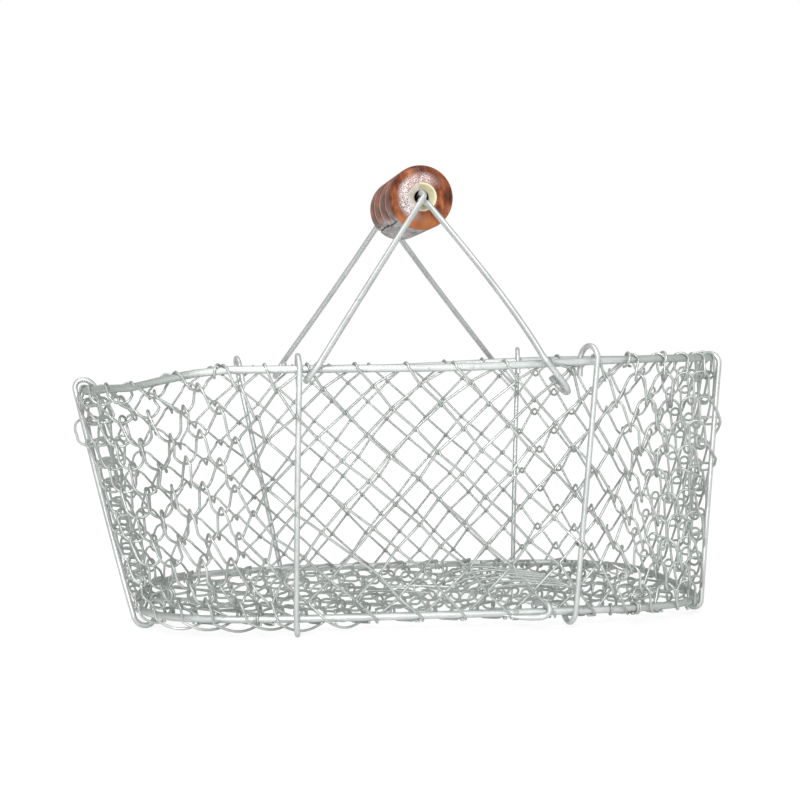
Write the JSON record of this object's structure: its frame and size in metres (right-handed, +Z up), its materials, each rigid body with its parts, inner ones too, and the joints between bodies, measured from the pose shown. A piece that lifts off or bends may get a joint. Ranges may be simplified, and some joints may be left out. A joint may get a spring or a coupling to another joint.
{
  "type": "wire onion basket",
  "caption": "Chain-link wire onion basket with steel rings, hooked stays and a bail handle with a turned wooden grip",
  "frame": {"origin": "On the ground under the middle of the rim's length and width", "axes": "+X to the right along the basket, +Y to the back, +Z up"},
  "size_m": [0.3977, 0.268, 0.2732],
  "materials": {
    "galvanised_steel": "galvanised wire",
    "galvanised_mesh": "galvanised netting",
    "varnished_wood": "worn gloss varnish"
  },
  "bodies": {
    "basket": {"top_rim": "galvanised_steel", "base_ring": "galvanised_steel", "side_spiral_1": "galvanised_mesh", "side_spiral_2": "galvanised_mesh", "side_spiral_3": "galvanised_mesh", "side_spiral_4": "galvanised_mesh", "side_spiral_5": "galvanised_mesh", "side_spiral_6": "galvanised_mesh", "side_spiral_7": "galvanised_mesh", "floor_spiral_01": "galvanised_mesh", "floor_spiral_02": "galvanised_mesh", "floor_spiral_03": "galvanised_mesh", "floor_spiral_04": "galvanised_mesh", "floor_spiral_05": "galvanised_mesh", "floor_spiral_06": "galvanised_mesh", "floor_spiral_07": "galvanised_mesh", "floor_spiral_08": "galvanised_mesh", "floor_spiral_09": "galvanised_mesh", "floor_spiral_10": "galvanised_mesh", "floor_spiral_11": "galvanised_mesh", "floor_spiral_12": "galvanised_mesh", "floor_spiral_13": "galvanised_mesh", "floor_spiral_14": "galvanised_mesh", "floor_spiral_15": "galvanised_mesh", "floor_spiral_16": "galvanised_mesh", "stay_near_left": "galvanised_steel", "stay_near_right": "galvanised_steel", "stay_far_left": "galvanised_steel", "stay_far_right": "galvanised_steel", "stay_left_end": "galvanised_steel", "stay_right_end": "galvanised_steel"},
    "handle": {"bail_wire_left": "galvanised_steel", "bail_wire_right": "galvanised_steel"},
    "grip": {"grip": "varnished_wood"}
  },
  "joints": [
    {"name": "handle_rock", "type": "hinge", "parent": "basket", "child": "handle", "pos_m": [-0.0619, 0, 0.1519], "axis": [0, -1, 0], "range_deg": [0, 2.3]},
    {"name": "grip_spin", "type": "hinge", "parent": "handle", "child": "grip", "pos_m": [0.012, 0, 0.2535], "axis": [0, 1, 0], "continuous": true}
  ]
}
